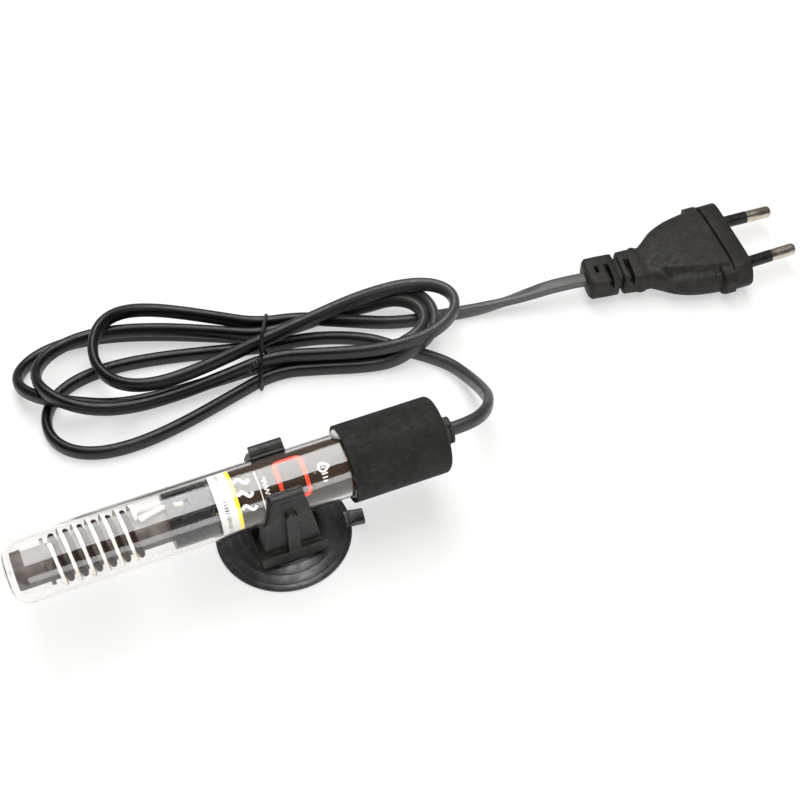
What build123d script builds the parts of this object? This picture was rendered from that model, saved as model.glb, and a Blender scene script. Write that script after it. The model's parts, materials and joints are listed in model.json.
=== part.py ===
from build123d import *
import math
import os

os.makedirs("parts", exist_ok=True)

# A small submersible aquarium heater, lying on its suction cup with its flat mains lead tied in a hank.
# Millimetres. The origin is the centre of the suction cup's rim, on the surface it sits on. +X runs along
# the glass tube from its blunt tip towards the rubber cap, and +Z is up.

# ------------------------------------------------------------------------------- driving dimensions
AXIS_Z = 25.0  # height of the tube's axis above the cup's rim

GLASS_OD = 19.0
GLASS_WALL = 1.0
TIP_X = -79.0
TIP_SHOULDER_RADIUS = 5.5
TIP_SLOPE = 0.14  # how far the blunt tip falls back, as a share of its radius
GLASS_END_X = 43.5

CAP_OD = 23.0
CAP_MOUTH_X = 19.4
CAP_RIM_X = 48.3
CAP_NOSE_X = 50.1
CAP_EDGE_RADIUS = 1.8
CAP_BORE_END_X = 45.0

SEAL_THICKNESS = 1.0
SEAL_FRONT_X = 18.6
SEAL_BACK_X = 21.4

GLAND_END_X = 52.2
GLAND_STEM_RADIUS = 3.4
GLAND_COLLAR_RADIUS = 4.2

LABEL_FRONT_X = -19.3
STRIPE_FRONT_X = -14.3
SLEEVE_FRONT_X = -13.2
SLEEVE_BACK_X = 37.0
FILM_GAP = 0.05
FILM_THICKNESS = 0.25

CORE_TIP_X = -76.0
CORE_RADIUS = 5.5
COIL_FRONT_X = -65.0
COIL_BACK_X = -41.0
COIL_PITCH = 4.0
RIB_OUTER_RADIUS = 7.9
RIB_THICKNESS = 0.9
WIRE_DIAMETER = 0.8

HOLDER_FRONT_X = -32.6
HOLDER_BLOCK_X = -20.0
HOLDER_BACK_X = 24.0
HOLDER_RADIUS = 8.0

CLIP_X = -0.5
CLIP_LENGTH = 20.0
CLIP_LIP_LENGTH = 9.6
CLIP_BASE_WIDTH = 26.4
CLIP_BASE_LOW_Z = 6.0
CLIP_BASE_TOP_Z = 10.5
CLIP_FIT = 0.05  # radial clearance of the clip on the glass
CLIP_WALL = 1.9
CLIP_WRAP_DEG = 38.0  # how far the arms reach above the tube's middle
CLIP_CORNER_RADIUS = 1.2
CLIP_ARM_INSET = 1.5  # step from the base's ends to the arms' feet
CLIP_RIB_WIDTH = 3.6
CLIP_RIB_PROUD = 1.5
CLIP_RIB_TOP_Z = 28.0
CLIP_RIB_ROUNDING = 1.2
HEAD_POCKET_HALF = 5.4  # half width of the room for the cup's head, under the tube
KEYHOLE_SLOT_HALF = 2.5
LIP_RADIUS = 1.7

CUP_DIAMETER = 40.0
CUP_SEAL_WIDTH = 2.6
CUP_NECK_RADIUS = 3.0
CUP_NECK_FIT = 0.08
CUP_HEAD_RADIUS = 4.6
CUP_HEAD_TOP_Z = 13.1
AXIAL_PLAY = 0.3  # between the clip's base and the cup's shoulder and head
TAB_ANGLE_DEG = -9.0
TAB_REACH = 24.0

CORD_WIDTH = 5.0  # wide side of the flat twin lead
OVERCUT = 0.01  # how far a cutting shape runs past the face it cuts through

PLUG_FACE_X = 171.8
PLUG_FACE_Y = 46.7
PLUG_YAW_DEG = -2.0
PLUG_LENGTH = 51.0
RELIEF_FRONT_X = -31.0  # where the strain relief leaves the grip, from the plug's face
RELIEF_BEND_DEG = -6.0  # the strain relief lies a little bent
FLANGE_WIDTH = 35.0
FLANGE_HEIGHT = 13.7
FLANGE_DEPTH = 6.0
PIN_DIAMETER = 4.0
PIN_LENGTH = 19.0
PIN_SLEEVE_LENGTH = 10.0
PIN_SPACING = 18.6
PIN_TOE_IN_DEG = 1.66  # the pins lean towards each other

GLASS_RADIUS = GLASS_OD / 2
BORE_RADIUS = GLASS_RADIUS - GLASS_WALL
FILM_RADIUS = BORE_RADIUS - FILM_GAP
PLUG_Z = FLANGE_HEIGHT / 2  # the plug lies flat on the surface


def behind_plug(distance):
    """The point on the plug's middle line that far behind its face, along the bent strain relief."""
    straight = math.radians(PLUG_YAW_DEG)
    bent = math.radians(PLUG_YAW_DEG + RELIEF_BEND_DEG)
    beyond = distance + RELIEF_FRONT_X
    x = PLUG_FACE_X + RELIEF_FRONT_X * math.cos(straight) - beyond * math.cos(bent)
    y = PLUG_FACE_Y + RELIEF_FRONT_X * math.sin(straight) - beyond * math.sin(bent)
    return (x, y, PLUG_Z)


PARTS = {}


def on_axis(shape):
    """Lift a shape made round the X axis up to the tube's axis."""
    return shape.moved(Location((0, 0, AXIS_Z)))


def spun(face):
    """Revolve a face, drawn as x and radius, round the tube's axis."""
    return on_axis(revolve(Plane.XZ * face, Axis.X, 360))


def ring(x_low, x_high, r_inner, r_outer):
    """A ring or, where the inner radius is 0, a disc round the tube's axis."""
    corners = [(x_low, r_inner), (x_high, r_inner), (x_high, r_outer), (x_low, r_outer)]
    return spun(make_face(Polyline(*corners, close=True)))


def rod(start, end, radius):
    """A round rod from one point to another."""
    path = Line(start, end)
    return sweep(Plane(origin=start, z_dir=path % 0) * Circle(radius), path)


def block(x, y, z):
    """A box given by its low and high limits on each axis."""
    size = [high - low for low, high in (x, y, z)]
    middle = [(high + low) / 2 for low, high in (x, y, z)]
    return Pos(*middle) * Box(*size)


def keep(name, *solids):
    """Collect one named piece, as one solid or as a group of separate ones."""
    PARTS[name] = solids[0] if len(solids) == 1 else Compound(children=list(solids))


# ------------------------------------------------------------------------------------ glass and cap
def blunt_half(tip_x, radius, shoulder_radius):
    """The upper half outline, filled, of a rod with a blunt, rounded tip."""
    shoulder = (tip_x + TIP_SLOPE * radius, radius)
    face = make_face(Polyline((tip_x, 0), shoulder, (GLASS_END_X, radius), (GLASS_END_X, 0), close=True))
    corner = face.vertices().sort_by_distance(shoulder)[0]
    return fillet(corner, shoulder_radius)


def glass_tube():
    outer = blunt_half(TIP_X, GLASS_RADIUS, TIP_SHOULDER_RADIUS)
    inner = blunt_half(TIP_X + GLASS_WALL, BORE_RADIUS, TIP_SHOULDER_RADIUS - GLASS_WALL)
    return spun(outer - inner)


def end_cap():
    cap_radius = CAP_OD / 2
    nose_radius = 5.0
    outline = Polyline(
        (CAP_MOUTH_X, GLASS_RADIUS + SEAL_THICKNESS),
        (CAP_MOUTH_X, cap_radius),
        (CAP_RIM_X, cap_radius),
        (CAP_NOSE_X, nose_radius),
        (CAP_NOSE_X, GLAND_STEM_RADIUS),
        (CAP_BORE_END_X, GLAND_STEM_RADIUS),
        (CAP_BORE_END_X, GLASS_RADIUS),
        (SEAL_BACK_X, GLASS_RADIUS),
        (SEAL_BACK_X, GLASS_RADIUS + SEAL_THICKNESS),
        close=True,
    )
    face = make_face(outline)
    rim = face.vertices().sort_by_distance((CAP_RIM_X, cap_radius))[0]
    return spun(fillet(rim, CAP_EDGE_RADIUS))


def seal_ring():
    return ring(SEAL_FRONT_X, SEAL_BACK_X, GLASS_RADIUS, GLASS_RADIUS + SEAL_THICKNESS)


STOPPER_FRONT_X = 37.5
LEAD_RADIUS = 0.6
LEAD_OFFSET = 1.6


def tube_stopper():
    plug = ring(STOPPER_FRONT_X, GLASS_END_X, 0, BORE_RADIUS)
    flange = ring(GLASS_END_X, CAP_BORE_END_X, 0, GLASS_RADIUS)
    body = plug + flange
    for side in (-1, 1):
        start = (STOPPER_FRONT_X - 1, side * LEAD_OFFSET, AXIS_Z)
        end = (CAP_BORE_END_X + 1, side * LEAD_OFFSET, AXIS_Z)
        body -= rod(start, end, LEAD_RADIUS)
    return body


def cable_gland():
    """A rubber bush through the cap's end, with two ribs and two ears outside it."""
    stem = ring(CAP_BORE_END_X, GLAND_END_X, 0, GLAND_STEM_RADIUS)
    inner_rib = ring(CAP_NOSE_X, CAP_NOSE_X + 0.8, 0, GLAND_COLLAR_RADIUS)
    outer_rib = ring(GLAND_END_X - 0.8, GLAND_END_X, 0, GLAND_COLLAR_RADIUS - 0.2)
    ears = on_axis(block((CAP_NOSE_X, GLAND_END_X - 0.4), (-1.3, 1.3), (-4.7, 4.7)))
    return stem + inner_rib + outer_rib + ears


# -------------------------------------------------------------------------------- films in the tube
def film(x_low, x_high):
    return ring(x_low, x_high, FILM_RADIUS - FILM_THICKNESS, FILM_RADIUS)


# ------------------------------------------------------------------------------------ heating element
def ceramic_core():
    rod_part = ring(CORE_TIP_X, HOLDER_FRONT_X + 4.0, 0, CORE_RADIUS)
    collar = ring(COIL_FRONT_X - 2.4, COIL_FRONT_X - 1.2, 0, CORE_RADIUS + 1.1)
    bore = ring(CORE_TIP_X - 1, CORE_TIP_X + 6.0, 0, 2.2)
    return rod_part + collar - bore


def helix_sweep(profile_size, radius, x_start):
    """A round or rectangular section carried along a helix round the tube's axis."""
    path = Helix(COIL_PITCH, COIL_BACK_X - COIL_FRONT_X, radius, (x_start, 0, 0), (1, 0, 0))
    plane = Plane(origin=path @ 0, z_dir=path % 0, x_dir=(1, 0, 0))
    if len(profile_size) == 1:
        section = plane * Circle(profile_size[0] / 2)
    else:
        section = plane * Rectangle(*profile_size)
    return on_axis(sweep(section, path, is_frenet=True))


def winding_rib():
    depth = RIB_OUTER_RADIUS - CORE_RADIUS - 0.05
    return helix_sweep((RIB_THICKNESS, depth), RIB_OUTER_RADIUS - depth / 2, COIL_FRONT_X)


def heating_wire():
    radius = CORE_RADIUS + 0.05 + WIRE_DIAMETER / 2
    return helix_sweep((WIRE_DIAMETER,), radius, COIL_FRONT_X + COIL_PITCH / 2)


HEATER_LEAD_RADIUS = 0.55
HEATER_LEAD_OFFSET = 6.7


def heater_leads():
    """Two glass-fibre covered leads from the winding into the thermostat's holder."""
    leads = []
    for side in (-1, 1):
        z = AXIS_Z + side * HEATER_LEAD_OFFSET
        leads.append(rod((COIL_BACK_X + 4.6, 0, z), (HOLDER_BLOCK_X + 4.0, 0, z), HEATER_LEAD_RADIUS))
    return leads


# --------------------------------------------------------------------------------------- thermostat
TRAY_FLOOR = -4.6  # heights inside the tube are measured from its axis
STRIP_HINGE_X = -13.0
STRIP_END_X = 12.0
STRIP_Z = 1.0
STRIP_THICKNESS = 0.5
STRIP_WIDTH = 5.0
CONTACT_X = 9.0
CONTACT_RADIUS = 1.2
CONTACT_GAP = 0.15
ARM_Z = -2.4
ARM_THICKNESS = 0.6
SCREW_X = 16.5
SCREW_RADIUS = 1.1
MOUNT_GAP = 0.2


def thermostat_holder():
    """A moulded block that takes the core's end, with an open tray behind it for the switch."""
    front = ring(HOLDER_FRONT_X, HOLDER_BLOCK_X, 0, HOLDER_RADIUS)
    socket = ring(HOLDER_FRONT_X - 1, HOLDER_FRONT_X + 4.0, 0, CORE_RADIUS)
    notch = on_axis(block((HOLDER_FRONT_X + 2.5, HOLDER_FRONT_X + 6.5), (-3.0, 3.0), (6.9, 9.0)))
    tray = ring(HOLDER_BLOCK_X, HOLDER_BACK_X, 0, HOLDER_RADIUS)
    upper = on_axis(block((HOLDER_BLOCK_X, HOLDER_BACK_X - 1.6), (-9, 9), (TRAY_FLOOR, 9)))
    post = on_axis(block((HOLDER_BLOCK_X, STRIP_HINGE_X - 1.2), (-3.5, 3.5), (TRAY_FLOOR, 3.2)))
    seat = on_axis(block((SCREW_X - 2.6, SCREW_X + 2.6), (-3.0, 3.0), (TRAY_FLOOR, ARM_Z - ARM_THICKNESS)))
    body = front + (tray - upper) + post + seat - socket - notch
    slot = (-STRIP_WIDTH / 2 - MOUNT_GAP, STRIP_WIDTH / 2 + MOUNT_GAP)
    gap_z = (STRIP_Z - MOUNT_GAP, STRIP_Z + STRIP_THICKNESS + MOUNT_GAP)
    body -= on_axis(block((STRIP_HINGE_X - 4.0, STRIP_HINGE_X), slot, gap_z))
    for lead in heater_leads():
        body -= lead
    screw_hole = rod((SCREW_X, 0, AXIS_Z + TRAY_FLOOR - 1.6), (SCREW_X, 0, AXIS_Z + 1), SCREW_RADIUS)
    return body - screw_hole - on_axis(magnet_block())


def bimetal_strip():
    return on_axis(
        block(
            (STRIP_HINGE_X - 3.0, STRIP_END_X),
            (-STRIP_WIDTH / 2, STRIP_WIDTH / 2),
            (STRIP_Z, STRIP_Z + STRIP_THICKNESS),
        )
    )


def moving_contact():
    return rod((CONTACT_X, 0, AXIS_Z + STRIP_Z - 1.0), (CONTACT_X, 0, AXIS_Z + STRIP_Z), CONTACT_RADIUS)


def contact_arm():
    """A sprung brass tongue on the screw's seat, under the bimetal strip's contact."""
    low = ARM_Z - ARM_THICKNESS
    tongue = on_axis(block((CONTACT_X - 2.5, HOLDER_BACK_X - 1.6), (-2.2, 2.2), (low, ARM_Z)))
    hole = rod((SCREW_X, 0, AXIS_Z + low - 1), (SCREW_X, 0, AXIS_Z + ARM_Z + 1), SCREW_RADIUS)
    return tongue - hole


def fixed_contact():
    top = STRIP_Z - 1.0 - CONTACT_GAP
    return rod((CONTACT_X, 0, AXIS_Z + ARM_Z), (CONTACT_X, 0, AXIS_Z + top), CONTACT_RADIUS)


def adjusting_screw():
    shank = rod((SCREW_X, 0, AXIS_Z + TRAY_FLOOR - 1.6), (SCREW_X, 0, AXIS_Z + ARM_Z), SCREW_RADIUS)
    head = rod((SCREW_X, 0, AXIS_Z + ARM_Z), (SCREW_X, 0, AXIS_Z + ARM_Z + 1.3), 2.0)
    slot = on_axis(block((SCREW_X - 3, SCREW_X + 3), (-0.3, 0.3), (ARM_Z + 0.7, ARM_Z + 2)))
    return shank + head - slot


def magnet_block():
    """The small magnet in the tray's floor that snaps the strip shut."""
    return block((2.0, 5.5), (-1.8, 1.8), (TRAY_FLOOR - 0.8, TRAY_FLOOR + 2.2))


def indicator_lamp():
    lamp_y = 4.6
    lamp_z = AXIS_Z + 4.0
    radius = 1.6
    capsule = rod((-8.0, lamp_y, lamp_z), (1.0, lamp_y, lamp_z), radius)
    tip = Pos(1.0, lamp_y, lamp_z) * Sphere(radius)
    return capsule + tip


def lamp_leads():
    return [rod((HOLDER_BLOCK_X, y, AXIS_Z + 4.0), (-8.0, y, AXIS_Z + 4.0), 0.25) for y in (4.0, 5.2)]


def lamp_resistor():
    y, z = -4.8, AXIS_Z + 3.6
    body = rod((-11.0, y, z), (-5.0, y, z), 1.1)
    tail = rod((HOLDER_BLOCK_X, y, z), (-11.0, y, z), 0.25)
    return body + tail


def supply_leads():
    leads = []
    for side in (-1, 1):
        y = side * LEAD_OFFSET
        leads.append(rod((HOLDER_BACK_X + 4.0, y, AXIS_Z), (CAP_BORE_END_X, y, AXIS_Z), LEAD_RADIUS))
    return leads


def crimp_terminals():
    crimps = []
    for side in (-1, 1):
        y = side * LEAD_OFFSET
        crimps.append(rod((HOLDER_BACK_X, y, AXIS_Z), (HOLDER_BACK_X + 4.0, y, AXIS_Z), 1.1))
    return crimps


# ------------------------------------------------------------------------------------- clip and cup
def clip_bracket():
    inner = GLASS_RADIUS + CLIP_FIT
    outer = inner + CLIP_WALL
    half = CLIP_LENGTH / 2
    base_half = CLIP_BASE_WIDTH / 2
    base = block((-half, half), (-base_half, base_half), (CLIP_BASE_LOW_Z, CLIP_BASE_TOP_Z))
    base = fillet(base.edges().filter_by(Axis.Z), CLIP_CORNER_RADIUS)
    # C-shaped arms on upright side walls, with room between the walls for the cup's head
    arms = ring(-half, half, inner, outer)
    top_z = AXIS_Z + outer * math.sin(math.radians(CLIP_WRAP_DEG))
    arms -= block((-half, half), (-CLIP_LENGTH, CLIP_LENGTH), (top_z, AXIS_Z + CLIP_LENGTH))
    foot = half - CLIP_ARM_INSET
    taper = Polyline(
        (-foot, CLIP_BASE_TOP_Z),
        (foot, CLIP_BASE_TOP_Z),
        (CLIP_LIP_LENGTH / 2, top_z + 1),
        (-CLIP_LIP_LENGTH / 2, top_z + 1),
        close=True,
    )
    walls = block((-half, half), (-outer, outer), (CLIP_BASE_TOP_Z, AXIS_Z))
    rib_reach = outer + CLIP_RIB_PROUD
    rib_half = CLIP_RIB_WIDTH / 2
    ribs = block((-rib_half, rib_half), (-rib_reach, rib_reach), (CLIP_BASE_TOP_Z, CLIP_RIB_TOP_Z))
    walls += fillet(ribs.edges().filter_by(Axis.Y).sort_by(Axis.Z)[-2:], CLIP_RIB_ROUNDING)
    walls -= block((-half, half), (-HEAD_POCKET_HALF, HEAD_POCKET_HALF), (CLIP_BASE_TOP_Z, AXIS_Z))
    walls -= ring(-half, half, 0, inner)
    # both taper from the base up to the lips
    body = base + (arms + walls & extrude(Plane.XZ * make_face(taper), CLIP_LENGTH, both=True))
    lip_distance = inner + LIP_RADIUS + CLIP_FIT
    for side in (-1, 1):
        angle = math.radians(CLIP_WRAP_DEG)
        y = side * lip_distance * math.cos(angle)
        z = AXIS_Z + lip_distance * math.sin(angle)
        body += rod((-CLIP_LIP_LENGTH / 2, y, z), (CLIP_LIP_LENGTH / 2, y, z), LIP_RADIUS)
    # keyhole for the cup's neck, open towards the cap
    neck = CUP_NECK_RADIUS + CUP_NECK_FIT
    body = Pos(CLIP_X, 0, 0) * body
    low_z = CLIP_BASE_LOW_Z - OVERCUT
    high_z = CLIP_BASE_TOP_Z + OVERCUT
    body -= rod((0, 0, low_z), (0, 0, high_z), neck)
    return body - block((0, CLIP_LENGTH), (-KEYHOLE_SLOT_HALF, KEYHOLE_SLOT_HALF), (low_z, high_z))


def suction_cup():
    """A rubber disc with stepped rings, a headed neck for the clip and a pull tab."""
    rim = CUP_DIAMETER / 2
    shoulder_z = CLIP_BASE_LOW_Z - AXIAL_PLAY
    head_z = CLIP_BASE_TOP_Z + AXIAL_PLAY
    outline = Polyline(
        (rim - CUP_SEAL_WIDTH, 0),
        (rim, 0),
        (rim, 0.9),
        (rim - 1.6, 1.5),
        (rim - 1.6, 1.9),
        (rim - 4.2, 2.4),
        (rim - 4.2, 2.8),
        (rim - 7.0, 3.2),
        (rim - 7.0, 3.7),
        (rim - 10.0, 4.2),
        (rim - 10.0, 4.9),
        (6.6, shoulder_z),
        (CUP_NECK_RADIUS, shoulder_z),
        (CUP_NECK_RADIUS, head_z),
        (CUP_HEAD_RADIUS, head_z),
        (CUP_HEAD_RADIUS, CUP_HEAD_TOP_Z - 0.9),
        (CUP_HEAD_RADIUS - 0.9, CUP_HEAD_TOP_Z),
        (0, CUP_HEAD_TOP_Z),
        (0, 2.4),
        (8.0, 2.0),
        close=True,
    )
    disc = revolve(Plane.XZ * make_face(outline), Axis.Z, 360)
    tab = Polyline(
        (rim - 2.5, -2.2),
        (rim + 0.8, -2.2),
        (TAB_REACH - 0.6, -3.4),
        (TAB_REACH, -3.0),
        (TAB_REACH, 3.0),
        (TAB_REACH - 0.6, 3.4),
        (rim + 0.8, 2.2),
        (rim - 2.5, 2.2),
        close=True,
    )
    pull = Pos(0, 0, 0.3) * extrude(make_face(tab), 2.3)
    return disc + Rot(0, 0, TAB_ANGLE_DEG) * pull


# --------------------------------------------------------------------------------------- mains lead
# Route of the lead's middle from the gland to the hank, and from the hank to the plug.
HEATER_LEAD_ROUTE = [
    (GLAND_END_X, 0.0, AXIS_Z),
    (59.3, 0.0, AXIS_Z),
    (65.4, 3.6, 23.2),
    (69.4, 10.4, 18.4),
    (71.2, 19.0, 11.6),
    (71.4, 28.6, 5.4),
    (69.0, 37.2, 2.9),
    (64.0, 43.0, 2.6),
]
PLUG_LEAD_ROUTE = [
    (73.5, 57.0, 2.6),
    (87.5, 54.8, 2.6),
    (100.5, 53.2, 4.6),
    behind_plug(PLUG_LENGTH + 10.0),
    behind_plug(PLUG_LENGTH),
]
RADIUS_SHARE = 0.45


def corner_radii(points):
    """The arc radius at each inner point: as large as its two runs allow."""
    radii = []
    for before, here, after in zip(points, points[1:], points[2:]):
        run_in = Vector(*here) - Vector(*before)
        run_out = Vector(*after) - Vector(*here)
        half_turn = math.radians(run_in.get_angle(run_out)) / 2
        radii.append(RADIUS_SHARE * min(run_in.length, run_out.length) / math.tan(half_turn))
    return radii


def cord_tube(name, points):
    radii = corner_radii(points)
    path = FilletPolyline(*points, radius=radii)
    section = Plane(origin=path @ 0, z_dir=path % 0) * Circle(CORD_WIDTH / 2)
    tube = sweep(section, path)
    share = tube.volume / (path.length * math.pi * (CORD_WIDTH / 2) ** 2)
    rounded = [round(radius, 1) for radius in radii]
    print(name, "radii", rounded, "length", round(path.length, 1), "volume share", round(share, 4))
    return tube


HANK_HEIGHT = 15.0
HANK_OUTLINE = [
    (-61.0, 80.0),
    (-59.0, 60.0),
    (-52.0, 47.0),
    (-40.0, 42.5),
    (-22.0, 43.0),
    (0.0, 50.0),
    (16.0, 54.5),
    (34.0, 49.0),
    (50.0, 44.0),
    (64.0, 42.5),
    (74.0, 46.0),
    (79.5, 54.0),
    (80.0, 64.0),
    (75.0, 73.5),
    (64.0, 78.5),
    (50.0, 78.0),
    (33.0, 73.5),
    (19.0, 77.5),
    (0.0, 91.0),
    (-12.0, 96.5),
    (-25.0, 98.5),
    (-42.0, 97.5),
    (-54.0, 92.5),
]
TIE_X = 17.0
TIE_WIDTH = 1.6
TIE_THICKNESS = 0.8
TIE_LOW_Y = 53.0
TIE_HIGH_Y = 79.0


def twist_tie():
    """A closed band round the hank's waist."""
    x = (TIE_X - TIE_WIDTH / 2, TIE_X + TIE_WIDTH / 2)
    inner_y = (TIE_LOW_Y + TIE_THICKNESS, TIE_HIGH_Y - TIE_THICKNESS)
    inner_z = (TIE_THICKNESS, HANK_HEIGHT - TIE_THICKNESS)
    return block(x, (TIE_LOW_Y, TIE_HIGH_Y), (0, HANK_HEIGHT)) - block(x, inner_y, inner_z)


def cord_hank():
    body = extrude(make_face(Polyline(*HANK_OUTLINE, close=True)), HANK_HEIGHT)
    return body - twist_tie()


# --------------------------------------------------------------------------------------------- plug
def at_plug(shape):
    """Place a shape made round the engagement face's centre, with the pins along +X."""
    return Location((PLUG_FACE_X, PLUG_FACE_Y, PLUG_Z), (0, 0, PLUG_YAW_DEG)) * shape


INSERT_DEPTH = 12.0
INSERT_WIDTH = 27.0
INSERT_HEIGHT = 7.0
PIN_ROOT = 9.0  # how deep the metal sits in the insert
PIN_CORE_RADIUS = 1.5
PIN_TIP_RADIUS = 1.4
SLEEVE_ROOT = 0.8  # how deep the thinner root of a pin's sleeve sits in the insert
SLEEVE_ROOT_RADIUS = 1.8
FLANGE_SIDE_HALF = 2.2  # half height of the flange's upright side edges
GRIP_PLAN = [(-6.0, 16.0), (-13.0, 15.2), (-19.5, 13.2), (-25.0, 10.0), (-28.0, 7.8), (-31.5, 7.4)]
GRIP_PROFILE = [(-5.9, 6.3), (-14.0, 6.2), (-24.0, 5.2), (-32.0, 4.6)]
STEM_HALF_SIZE = (3.6, 3.2)
RELIEF_BLOCKS = [(-PLUG_LENGTH, -41.0, 6.2, 4.0), (-39.4, -33.2, 6.3, 4.2)]  # ends, half width and height
RELIEF_EDGE_RADIUS = 1.6
RELIEF_SLOTS_X = (-43.6, -36.4)
SLOT_HALF_WIDTH = 0.9
SLOT_HALF_LENGTH = 4.6
SLOT_FLOOR = 2.4
MIN_ALIGN = (Align.CENTER, Align.CENTER, Align.MIN)


def plug_insert_block():
    size = (INSERT_DEPTH, INSERT_WIDTH, INSERT_HEIGHT)
    return Pos(-INSERT_DEPTH / 2, 0, 0) * Box(*size)


def mirrored(points, axis):
    """A symmetric closed outline: the given side, then its mirror image backwards."""
    if axis == "first":
        return points + [(-a, b) for a, b in reversed(points)]
    return points + [(a, -b) for a, b in reversed(points)]


def plug_flange():
    """The plug's front plate, an octagon."""
    half_w = FLANGE_WIDTH / 2
    half_h = FLANGE_HEIGHT / 2
    slope_w = half_w - (half_h - FLANGE_SIDE_HALF)
    upper_corners = [(slope_w, half_h), (half_w, FLANGE_SIDE_HALF)]
    section = Polyline(*mirrored(mirrored(upper_corners, "second"), "first"), close=True)
    return extrude(Plane.YZ * make_face(section), -FLANGE_DEPTH)


def plug_grip():
    """A shield-shaped grip behind the flange, thinning towards the lead."""
    far_side = Spline(*GRIP_PLAN)
    near_side = Spline(*[(x, -y) for x, y in GRIP_PLAN])
    front = Line(far_side @ 0, near_side @ 0)
    back = Line(far_side @ 1, near_side @ 1)
    grip = extrude(make_face([far_side, near_side, front, back]), FLANGE_HEIGHT / 2, both=True)
    profile = Polyline(*mirrored(GRIP_PROFILE, "second"), close=True)
    return grip & extrude(Plane.XZ * make_face(profile), FLANGE_WIDTH, both=True)


def strain_relief():
    """Two slotted blocks on a slimmer stem, one at the lead's end and one by the grip."""
    stem_w, stem_h = STEM_HALF_SIZE
    relief = block((-PLUG_LENGTH, RELIEF_FRONT_X), (-stem_w, stem_w), (-stem_h, stem_h))
    for x_low, x_high, half_w, half_h in RELIEF_BLOCKS:
        lump = block((x_low, x_high), (-half_w, half_w), (-half_h, half_h))
        relief += fillet(lump.edges().filter_by(Axis.X), RELIEF_EDGE_RADIUS)
    for x in RELIEF_SLOTS_X:
        along = (x - SLOT_HALF_WIDTH, x + SLOT_HALF_WIDTH)
        across = (-SLOT_HALF_LENGTH, SLOT_HALF_LENGTH)
        relief -= block(along, across, (SLOT_FLOOR, FLANGE_HEIGHT))
        relief -= block(along, across, (-FLANGE_HEIGHT, -SLOT_FLOOR))
    hinge = Pos(RELIEF_FRONT_X, 0, 0)
    return hinge * Rot(0, 0, RELIEF_BEND_DEG) * hinge.inverse() * relief


def plug_body():
    return at_plug(plug_flange() + plug_grip() + strain_relief() - plug_insert_block())


def pin_frame(side):
    """The place of one pin, at the engagement face."""
    return Location((0, side * PIN_SPACING / 2, 0), (0, 0, -side * PIN_TOE_IN_DEG))


def pin_rod(x_low, x_high, radius):
    """A round stretch of a pin, in the pin's own frame."""
    return Pos(x_low, 0, 0) * Rot(0, 90, 0) * Cylinder(radius, x_high - x_low, align=MIN_ALIGN)


def pin_metal(side):
    core = pin_rod(-PIN_ROOT, PIN_SLEEVE_LENGTH, PIN_CORE_RADIUS)
    tip = pin_rod(PIN_SLEEVE_LENGTH, PIN_LENGTH, PIN_DIAMETER / 2)
    tip = fillet(tip.edges().sort_by(Axis.X)[-1], PIN_TIP_RADIUS)
    return pin_frame(side) * (core + tip)


def pin_sleeve(side):
    outer = pin_rod(-SLEEVE_ROOT, 0, SLEEVE_ROOT_RADIUS) + pin_rod(0, PIN_SLEEVE_LENGTH, PIN_DIAMETER / 2)
    return pin_frame(side) * (outer - pin_rod(-SLEEVE_ROOT, PIN_SLEEVE_LENGTH, PIN_CORE_RADIUS))


def plug_insert():
    body = plug_insert_block()
    for side in (-1, 1):
        body -= pin_metal(side)
        body -= pin_sleeve(side)
    return at_plug(body)


# ----------------------------------------------------------------------------------------- assembly
keep("glass_tube", glass_tube())
keep("end_cap", end_cap())
keep("seal_ring", seal_ring())
keep("tube_stopper", tube_stopper())
keep("cable_gland", cable_gland())
keep("foil_sleeve", film(SLEEVE_FRONT_X, SLEEVE_BACK_X))
keep("rating_label", film(LABEL_FRONT_X, STRIPE_FRONT_X))
keep("label_stripe", film(STRIPE_FRONT_X, SLEEVE_FRONT_X))
keep("ceramic_core", ceramic_core())
keep("winding_rib", winding_rib())
keep("heating_wire", heating_wire())
keep("heater_leads", *heater_leads())
keep("thermostat_holder", thermostat_holder())
keep("bimetal_strip", bimetal_strip())
keep("moving_contact", moving_contact())
keep("fixed_contact", fixed_contact())
keep("contact_arm", contact_arm())
keep("adjusting_screw", adjusting_screw())
keep("snap_magnet", on_axis(magnet_block()))
keep("indicator_lamp", indicator_lamp())
keep("lamp_leads", *lamp_leads())
keep("lamp_resistor", lamp_resistor())
keep("supply_leads", *supply_leads())
keep("crimp_terminals", *crimp_terminals())
keep("clip_bracket", clip_bracket())
keep("suction_cup", suction_cup())
keep("cord_heater_lead", cord_tube("cord_heater_lead", HEATER_LEAD_ROUTE))
keep("cord_hank", cord_hank())
keep("cord_plug_lead", cord_tube("cord_plug_lead", PLUG_LEAD_ROUTE))
keep("twist_tie", twist_tie())
keep("plug_body", plug_body())
keep("plug_insert", plug_insert())
for label, side in (("left", 1), ("right", -1)):
    keep(f"plug_pin_{label}", at_plug(pin_metal(side)))
    keep(f"pin_sleeve_{label}", at_plug(pin_sleeve(side)))

for name, shape in PARTS.items():
    export_step(shape, f"parts/{name}.step")
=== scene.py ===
import json
import math
import random

import bmesh
import bpy
from mathutils import Matrix, Vector
from mathutils.geometry import convex_hull_2d


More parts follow.
